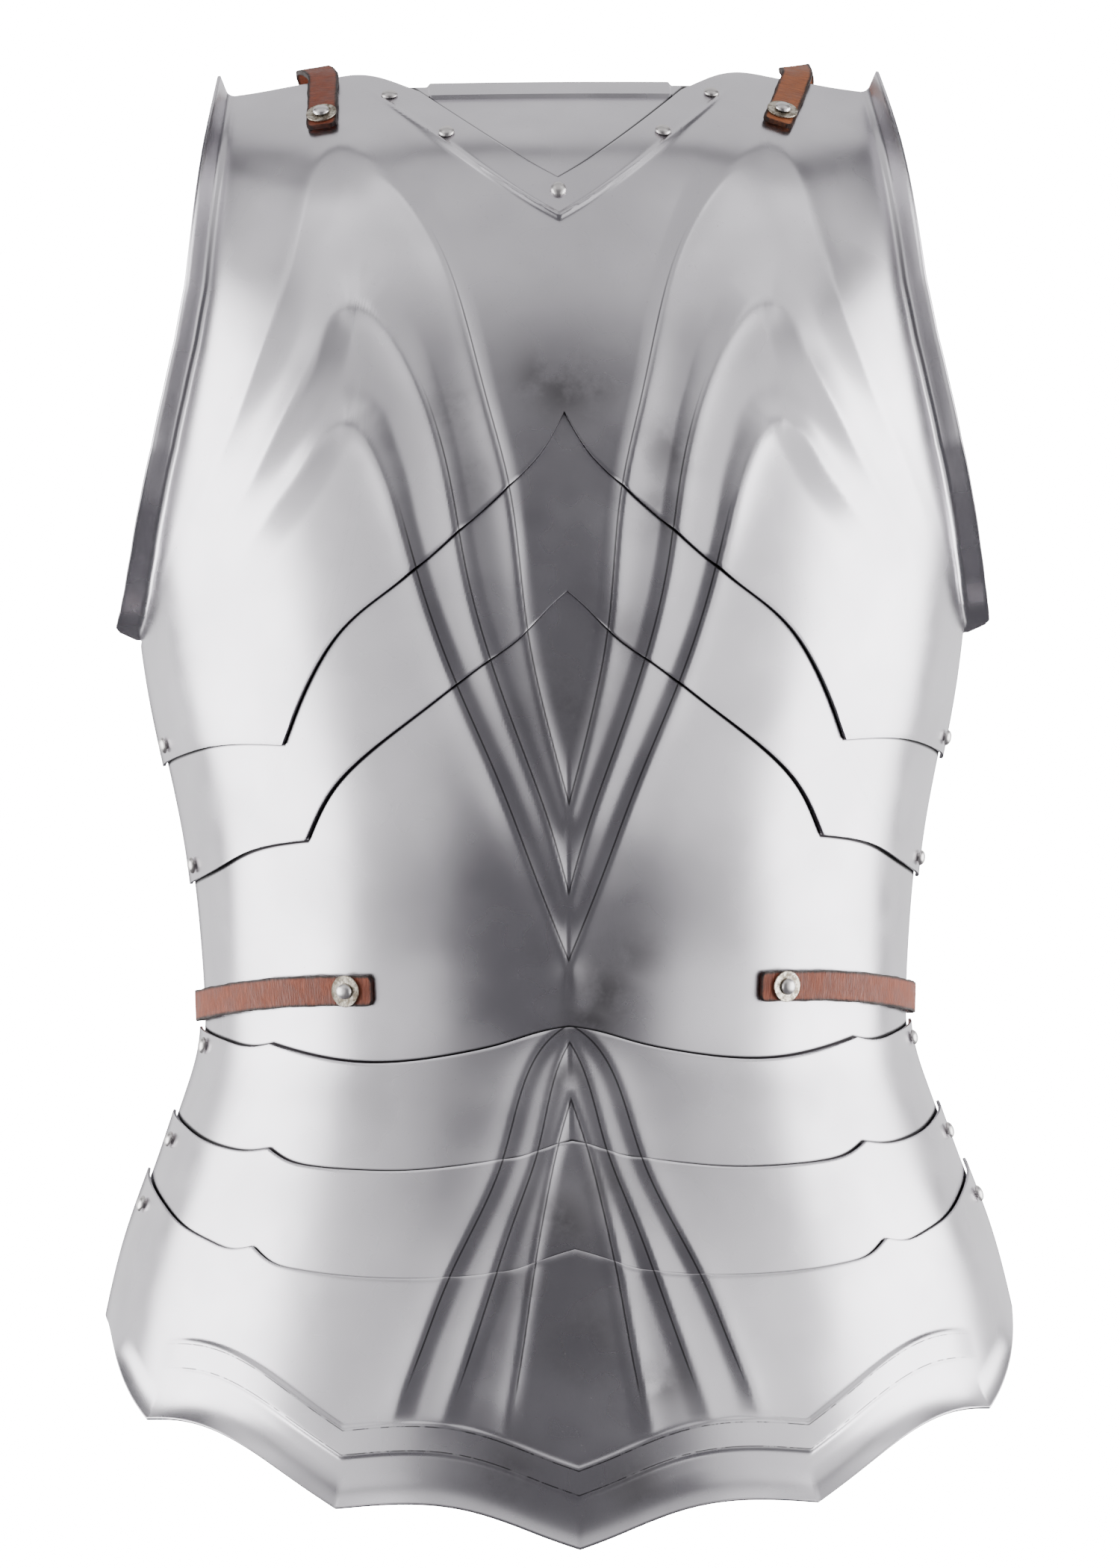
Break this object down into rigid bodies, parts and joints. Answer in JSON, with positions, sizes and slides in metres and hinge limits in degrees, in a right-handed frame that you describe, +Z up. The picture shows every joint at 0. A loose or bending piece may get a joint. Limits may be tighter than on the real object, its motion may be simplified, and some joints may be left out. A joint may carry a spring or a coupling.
{
  "type": "cuirass breastplate",
  "caption": "Front half of a plate cuirass: lapped flame-ribbed torso plates, a scalloped fauld of hinged lames, riveted leather shoulder and waist straps.",
  "frame": {"origin": "the waist line, midway between the two side edges of the plates, where the wearer's waist holds it", "axes": "+Z up the wearer, -Y forwards out of the chest, +X towards the wearer's left side"},
  "size_m": [0.4158, 0.2944, 0.6556],
  "materials": {
    "steel": "fine brushed, half bright",
    "rivet_steel": "hammered bright domes",
    "aged_metal": "aged nickel, dull",
    "leather": "plain red-brown, dark burnt edges"
  },
  "bodies": {
    "main": {"breast_plate": "steel", "neck_plate": "steel", "middle_plate": "steel", "waist_plate": "steel", "rivet_breast_left": "rivet_steel", "rivet_breast_right": "rivet_steel", "rivet_middle_left": "rivet_steel", "rivet_middle_right": "rivet_steel", "rivet_neck_low_middle": "rivet_steel", "rivet_neck_mid_left": "rivet_steel", "rivet_neck_mid_right": "rivet_steel", "rivet_neck_high_left": "rivet_steel", "rivet_neck_high_right": "rivet_steel", "rivet_shoulder_strap_left": "rivet_steel", "rivet_shoulder_strap_right": "rivet_steel", "washer_shoulder_left": "aged_metal", "washer_shoulder_right": "aged_metal", "shoulder_strap_left": "leather", "shoulder_strap_right": "leather", "rivet_waist_strap_left": "rivet_steel", "rivet_waist_strap_right": "rivet_steel", "washer_waist_left": "aged_metal", "washer_waist_right": "aged_metal", "waist_strap_left": "leather", "waist_strap_right": "leather", "rivet_back_left": "rivet_steel", "rivet_back_right": "rivet_steel", "back_clasp": "aged_metal"},
    "lame_1": {"fauld_lame_1": "steel", "rivet_lame_1_left": "rivet_steel", "rivet_lame_1_right": "rivet_steel"},
    "lame_2": {"fauld_lame_2": "steel", "rivet_lame_2_left": "rivet_steel", "rivet_lame_2_right": "rivet_steel"},
    "lame_3": {"fauld_lame_3": "steel", "rivet_lame_3_left": "rivet_steel", "rivet_lame_3_right": "rivet_steel"}
  },
  "joints": [
    {"name": "lame_1_hinge", "type": "hinge", "parent": "main", "child": "lame_1", "pos_m": [0, -0.02267, -0.01729], "axis": [-1, 0, 0], "range_deg": [0, 4]},
    {"name": "lame_2_hinge", "type": "hinge", "parent": "lame_1", "child": "lame_2", "pos_m": [0, -0.02545, -0.05909], "axis": [-1, 0, 0], "range_deg": [0, 5]},
    {"name": "lame_3_hinge", "type": "hinge", "parent": "lame_2", "child": "lame_3", "pos_m": [0, -0.0275, -0.08759], "axis": [-1, 0, 0], "range_deg": [0, 5]}
  ]
}
